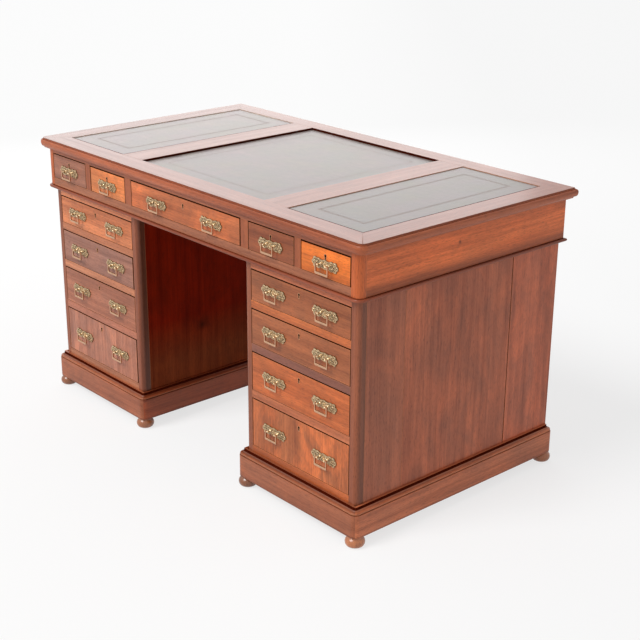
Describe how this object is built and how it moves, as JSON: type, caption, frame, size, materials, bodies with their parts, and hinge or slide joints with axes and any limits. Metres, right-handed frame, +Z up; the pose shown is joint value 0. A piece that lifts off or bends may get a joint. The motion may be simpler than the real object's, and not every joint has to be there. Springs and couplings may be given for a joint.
{
  "type": "pedestal desk",
  "caption": "Freestanding kneehole desk: leather-panelled framed top, frieze drawers, and a pedestal of graduated drawers at each side on a moulded plinth with bun feet; brass drop handles.",
  "frame": {"origin": "on the floor, under the middle of the top", "axes": "+X along the width to the right of someone facing the drawers, -Y out of the drawer fronts towards the sitter, +Z up"},
  "size_m": [1.366, 0.752, 0.77],
  "materials": {
    "top_mahogany": "polished mahogany with a French-polish sheen",
    "mahogany": "polished red-brown mahogany",
    "drawer_mahogany": "figured mahogany fronts, polished; plain linings",
    "brass": "aged, lightly tarnished brass",
    "leather": "worn grey-green skiver with tooled border lines"
  },
  "bodies": {
    "carcase": {"top_frame": "top_mahogany", "leather_panels": "leather", "frieze_case": "mahogany", "frieze_rails": "mahogany", "frieze_bead": "mahogany", "left_pedestal_case": "mahogany", "right_pedestal_case": "mahogany", "left_pedestal_rails": "mahogany", "right_pedestal_rails": "mahogany", "left_plinth": "mahogany", "right_plinth": "mahogany", "bun_feet": "mahogany"},
    "drawer_frieze_1": {"drawer_frieze_1": "drawer_mahogany", "fittings_frieze_1": "brass"},
    "bail_frieze_1": {"bail_frieze_1": "brass"},
    "drawer_frieze_2": {"drawer_frieze_2": "drawer_mahogany", "fittings_frieze_2": "brass"},
    "bail_frieze_2": {"bail_frieze_2": "brass"},
    "drawer_frieze_3": {"drawer_frieze_3": "drawer_mahogany", "fittings_frieze_3": "brass"},
    "bail_frieze_3_left": {"bail_frieze_3_left": "brass"},
    "bail_frieze_3_right": {"bail_frieze_3_right": "brass"},
    "drawer_frieze_4": {"drawer_frieze_4": "drawer_mahogany", "fittings_frieze_4": "brass"},
    "bail_frieze_4": {"bail_frieze_4": "brass"},
    "drawer_frieze_5": {"drawer_frieze_5": "drawer_mahogany", "fittings_frieze_5": "brass"},
    "bail_frieze_5": {"bail_frieze_5": "brass"},
    "drawer_left_1": {"drawer_left_1": "drawer_mahogany", "fittings_left_1": "brass"},
    "bail_left_1_left": {"bail_left_1_left": "brass"},
    "bail_left_1_right": {"bail_left_1_right": "brass"},
    "drawer_left_2": {"drawer_left_2": "drawer_mahogany", "fittings_left_2": "brass"},
    "bail_left_2_left": {"bail_left_2_left": "brass"},
    "bail_left_2_right": {"bail_left_2_right": "brass"},
    "drawer_left_3": {"drawer_left_3": "drawer_mahogany", "fittings_left_3": "brass"},
    "bail_left_3_left": {"bail_left_3_left": "brass"},
    "bail_left_3_right": {"bail_left_3_right": "brass"},
    "drawer_left_4": {"drawer_left_4": "drawer_mahogany", "fittings_left_4": "brass"},
    "bail_left_4_left": {"bail_left_4_left": "brass"},
    "bail_left_4_right": {"bail_left_4_right": "brass"},
    "drawer_right_1": {"drawer_right_1": "drawer_mahogany", "fittings_right_1": "brass"},
    "bail_right_1_left": {"bail_right_1_left": "brass"},
    "bail_right_1_right": {"bail_right_1_right": "brass"},
    "drawer_right_2": {"drawer_right_2": "drawer_mahogany", "fittings_right_2": "brass"},
    "bail_right_2_left": {"bail_right_2_left": "brass"},
    "bail_right_2_right": {"bail_right_2_right": "brass"},
    "drawer_right_3": {"drawer_right_3": "drawer_mahogany", "fittings_right_3": "brass"},
    "bail_right_3_left": {"bail_right_3_left": "brass"},
    "bail_right_3_right": {"bail_right_3_right": "brass"},
    "drawer_right_4": {"drawer_right_4": "drawer_mahogany", "fittings_right_4": "brass"},
    "bail_right_4_left": {"bail_right_4_left": "brass"},
    "bail_right_4_right": {"bail_right_4_right": "brass"}
  },
  "joints": [
    {"name": "slide_frieze_1", "type": "slide", "parent": "carcase", "child": "drawer_frieze_1", "axis": [0, -1, 0], "range_m": [0, 0.43]},
    {"name": "swing_frieze_1", "type": "hinge", "parent": "drawer_frieze_1", "child": "bail_frieze_1", "pos_m": [-0.546, -0.371, 0.689], "axis": [-1, 0, 0], "range_deg": [-15, 105]},
    {"name": "slide_frieze_2", "type": "slide", "parent": "carcase", "child": "drawer_frieze_2", "axis": [0, -1, 0], "range_m": [0, 0.43]},
    {"name": "swing_frieze_2", "type": "hinge", "parent": "drawer_frieze_2", "child": "bail_frieze_2", "pos_m": [-0.351, -0.371, 0.689], "axis": [-1, 0, 0], "range_deg": [-15, 105]},
    {"name": "slide_frieze_3", "type": "slide", "parent": "carcase", "child": "drawer_frieze_3", "axis": [0, -1, 0], "range_m": [0, 0.43]},
    {"name": "swing_frieze_3_left", "type": "hinge", "parent": "drawer_frieze_3", "child": "bail_frieze_3_left", "pos_m": [-0.118, -0.371, 0.689], "axis": [-1, 0, 0], "range_deg": [-15, 105]},
    {"name": "swing_frieze_3_right", "type": "hinge", "parent": "drawer_frieze_3", "child": "bail_frieze_3_right", "pos_m": [0.118, -0.371, 0.689], "axis": [-1, 0, 0], "range_deg": [-15, 105]},
    {"name": "slide_frieze_4", "type": "slide", "parent": "carcase", "child": "drawer_frieze_4", "axis": [0, -1, 0], "range_m": [0, 0.43]},
    {"name": "swing_frieze_4", "type": "hinge", "parent": "drawer_frieze_4", "child": "bail_frieze_4", "pos_m": [0.351, -0.371, 0.689], "axis": [-1, 0, 0], "range_deg": [-15, 105]},
    {"name": "slide_frieze_5", "type": "slide", "parent": "carcase", "child": "drawer_frieze_5", "axis": [0, -1, 0], "range_m": [0, 0.43]},
    {"name": "swing_frieze_5", "type": "hinge", "parent": "drawer_frieze_5", "child": "bail_frieze_5", "pos_m": [0.546, -0.371, 0.689], "axis": [-1, 0, 0], "range_deg": [-15, 105]},
    {"name": "slide_left_1", "type": "slide", "parent": "carcase", "child": "drawer_left_1", "axis": [0, -1, 0], "range_m": [0, 0.43]},
    {"name": "swing_left_1_left", "type": "hinge", "parent": "drawer_left_1", "child": "bail_left_1_left", "pos_m": [-0.534, -0.359, 0.564], "axis": [-1, 0, 0], "range_deg": [-15, 105]},
    {"name": "swing_left_1_right", "type": "hinge", "parent": "drawer_left_1", "child": "bail_left_1_right", "pos_m": [-0.347, -0.359, 0.564], "axis": [-1, 0, 0], "range_deg": [-15, 105]},
    {"name": "slide_left_2", "type": "slide", "parent": "carcase", "child": "drawer_left_2", "axis": [0, -1, 0], "range_m": [0, 0.43]},
    {"name": "swing_left_2_left", "type": "hinge", "parent": "drawer_left_2", "child": "bail_left_2_left", "pos_m": [-0.534, -0.359, 0.455], "axis": [-1, 0, 0], "range_deg": [-15, 105]},
    {"name": "swing_left_2_right", "type": "hinge", "parent": "drawer_left_2", "child": "bail_left_2_right", "pos_m": [-0.347, -0.359, 0.455], "axis": [-1, 0, 0], "range_deg": [-15, 105]},
    {"name": "slide_left_3", "type": "slide", "parent": "carcase", "child": "drawer_left_3", "axis": [0, -1, 0], "range_m": [0, 0.43]},
    {"name": "swing_left_3_left", "type": "hinge", "parent": "drawer_left_3", "child": "bail_left_3_left", "pos_m": [-0.534, -0.359, 0.3335], "axis": [-1, 0, 0], "range_deg": [-15, 105]},
    {"name": "swing_left_3_right", "type": "hinge", "parent": "drawer_left_3", "child": "bail_left_3_right", "pos_m": [-0.347, -0.359, 0.3335], "axis": [-1, 0, 0], "range_deg": [-15, 105]},
    {"name": "slide_left_4", "type": "slide", "parent": "carcase", "child": "drawer_left_4", "axis": [0, -1, 0], "range_m": [0, 0.43]},
    {"name": "swing_left_4_left", "type": "hinge", "parent": "drawer_left_4", "child": "bail_left_4_left", "pos_m": [-0.534, -0.359, 0.192], "axis": [-1, 0, 0], "range_deg": [-15, 105]},
    {"name": "swing_left_4_right", "type": "hinge", "parent": "drawer_left_4", "child": "bail_left_4_right", "pos_m": [-0.347, -0.359, 0.192], "axis": [-1, 0, 0], "range_deg": [-15, 105]},
    {"name": "slide_right_1", "type": "slide", "parent": "carcase", "child": "drawer_right_1", "axis": [0, -1, 0], "range_m": [0, 0.43]},
    {"name": "swing_right_1_left", "type": "hinge", "parent": "drawer_right_1", "child": "bail_right_1_left", "pos_m": [0.347, -0.359, 0.564], "axis": [-1, 0, 0], "range_deg": [-15, 105]},
    {"name": "swing_right_1_right", "type": "hinge", "parent": "drawer_right_1", "child": "bail_right_1_right", "pos_m": [0.534, -0.359, 0.564], "axis": [-1, 0, 0], "range_deg": [-15, 105]},
    {"name": "slide_right_2", "type": "slide", "parent": "carcase", "child": "drawer_right_2", "axis": [0, -1, 0], "range_m": [0, 0.43]},
    {"name": "swing_right_2_left", "type": "hinge", "parent": "drawer_right_2", "child": "bail_right_2_left", "pos_m": [0.347, -0.359, 0.455], "axis": [-1, 0, 0], "range_deg": [-15, 105]},
    {"name": "swing_right_2_right", "type": "hinge", "parent": "drawer_right_2", "child": "bail_right_2_right", "pos_m": [0.534, -0.359, 0.455], "axis": [-1, 0, 0], "range_deg": [-15, 105]},
    {"name": "slide_right_3", "type": "slide", "parent": "carcase", "child": "drawer_right_3", "axis": [0, -1, 0], "range_m": [0, 0.43]},
    {"name": "swing_right_3_left", "type": "hinge", "parent": "drawer_right_3", "child": "bail_right_3_left", "pos_m": [0.347, -0.359, 0.3335], "axis": [-1, 0, 0], "range_deg": [-15, 105]},
    {"name": "swing_right_3_right", "type": "hinge", "parent": "drawer_right_3", "child": "bail_right_3_right", "pos_m": [0.534, -0.359, 0.3335], "axis": [-1, 0, 0], "range_deg": [-15, 105]},
    {"name": "slide_right_4", "type": "slide", "parent": "carcase", "child": "drawer_right_4", "axis": [0, -1, 0], "range_m": [0, 0.43]},
    {"name": "swing_right_4_left", "type": "hinge", "parent": "drawer_right_4", "child": "bail_right_4_left", "pos_m": [0.347, -0.359, 0.192], "axis": [-1, 0, 0], "range_deg": [-15, 105]},
    {"name": "swing_right_4_right", "type": "hinge", "parent": "drawer_right_4", "child": "bail_right_4_right", "pos_m": [0.534, -0.359, 0.192], "axis": [-1, 0, 0], "range_deg": [-15, 105]}
  ]
}
